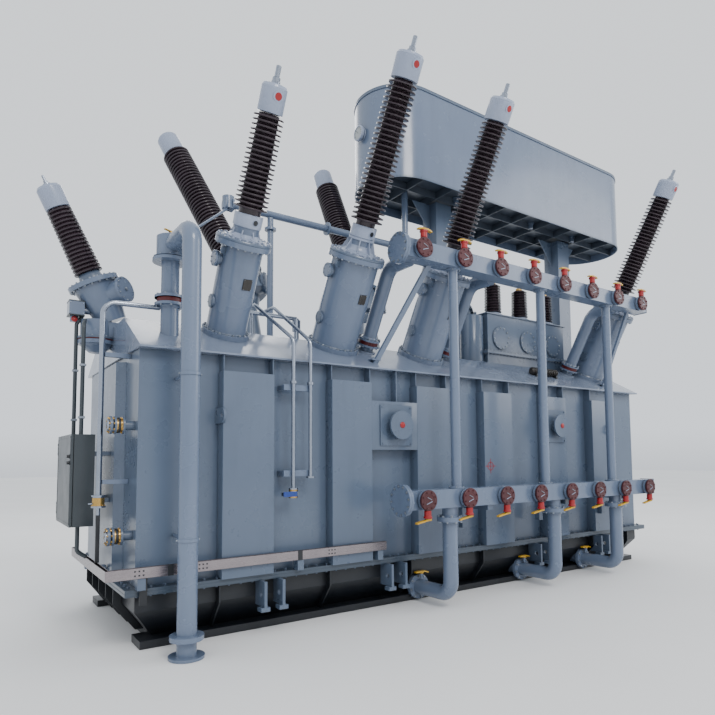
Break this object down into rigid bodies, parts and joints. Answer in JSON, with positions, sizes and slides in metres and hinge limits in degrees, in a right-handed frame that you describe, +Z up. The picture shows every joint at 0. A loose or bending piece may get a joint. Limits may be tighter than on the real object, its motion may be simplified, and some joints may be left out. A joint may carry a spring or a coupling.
{
  "type": "power transformer",
  "caption": "Oil-filled power transformer: bell tank with sloping cover, leaning porcelain bushings, raised round-ended conservator and pipe headers for coolers along the front.",
  "frame": {"origin": "middle of the tank's footprint, on the ground under the base rails", "axes": "+X along the tank, -Y towards the front with the cooler headers, +Z up"},
  "size_m": [9.5406, 3.9815, 6.742],
  "materials": {
    "paint": "gloss blue-grey enamel",
    "cap_paint": "satin pale grey",
    "porcelain": "glossy dark brown glaze",
    "stainless": "bright stainless",
    "valve_iron": "dark red-brown enamel",
    "dark_paint": "dark grey enamel",
    "cabinet_paint": "semi-gloss grey"
  },
  "bodies": {
    "transformer": {"base_rails": "dark_paint", "bell_flange": "paint", "bell_tank": "paint", "bushing_caps": "cap_paint", "bushing_collars": "cap_paint", "cabinet": "cabinet_paint", "cabinet_bars": "paint", "cabinet_conduits": "dark_paint", "cable_tray": "stainless", "conservator_bottom": "paint", "conservator_posts": "paint", "conservator_ribs": "paint", "conservator_top": "paint", "conservator_wall": "paint", "cooler_valves": "valve_iron", "down_pipes": "paint", "end_insulator": "porcelain", "end_oil_pipe": "stainless", "end_stiffeners": "paint", "end_stub_valves": "paint", "end_turret": "paint", "feed_pipes": "paint", "front_insulators": "porcelain", "front_oil_pipes": "stainless", "front_turrets": "paint", "header_brackets": "paint", "header_posts": "paint", "header_struts": "paint", "jacking_brackets": "paint", "lifting_lugs": "paint", "lip_gussets": "paint", "lower_flange": "paint", "lower_header": "paint", "lower_ribs": "paint", "lower_tank": "paint", "lv_box": "paint", "lv_bushings": "porcelain", "lv_covers": "paint", "main_pipe": "paint", "manhole_bridge": "paint", "oil_gauge": "paint", "oil_line": "paint", "oil_line_post": "paint", "pipe_brackets": "paint", "rear_insulators": "porcelain", "rear_turrets": "paint", "tank_cover": "paint", "tray_blocks": "paint", "upper_header": "paint", "vent_pipe": "paint", "wall_ports": "paint", "wall_stiffeners": "paint"},
    "door": {"cabinet_door": "cabinet_paint"}
  },
  "joints": [
    {"name": "cabinet_door_hinge", "type": "hinge", "parent": "transformer", "child": "door", "pos_m": [-4.28, 0.358, 1.47], "axis": [0, 0, -1], "range_deg": [0, 110]}
  ]
}
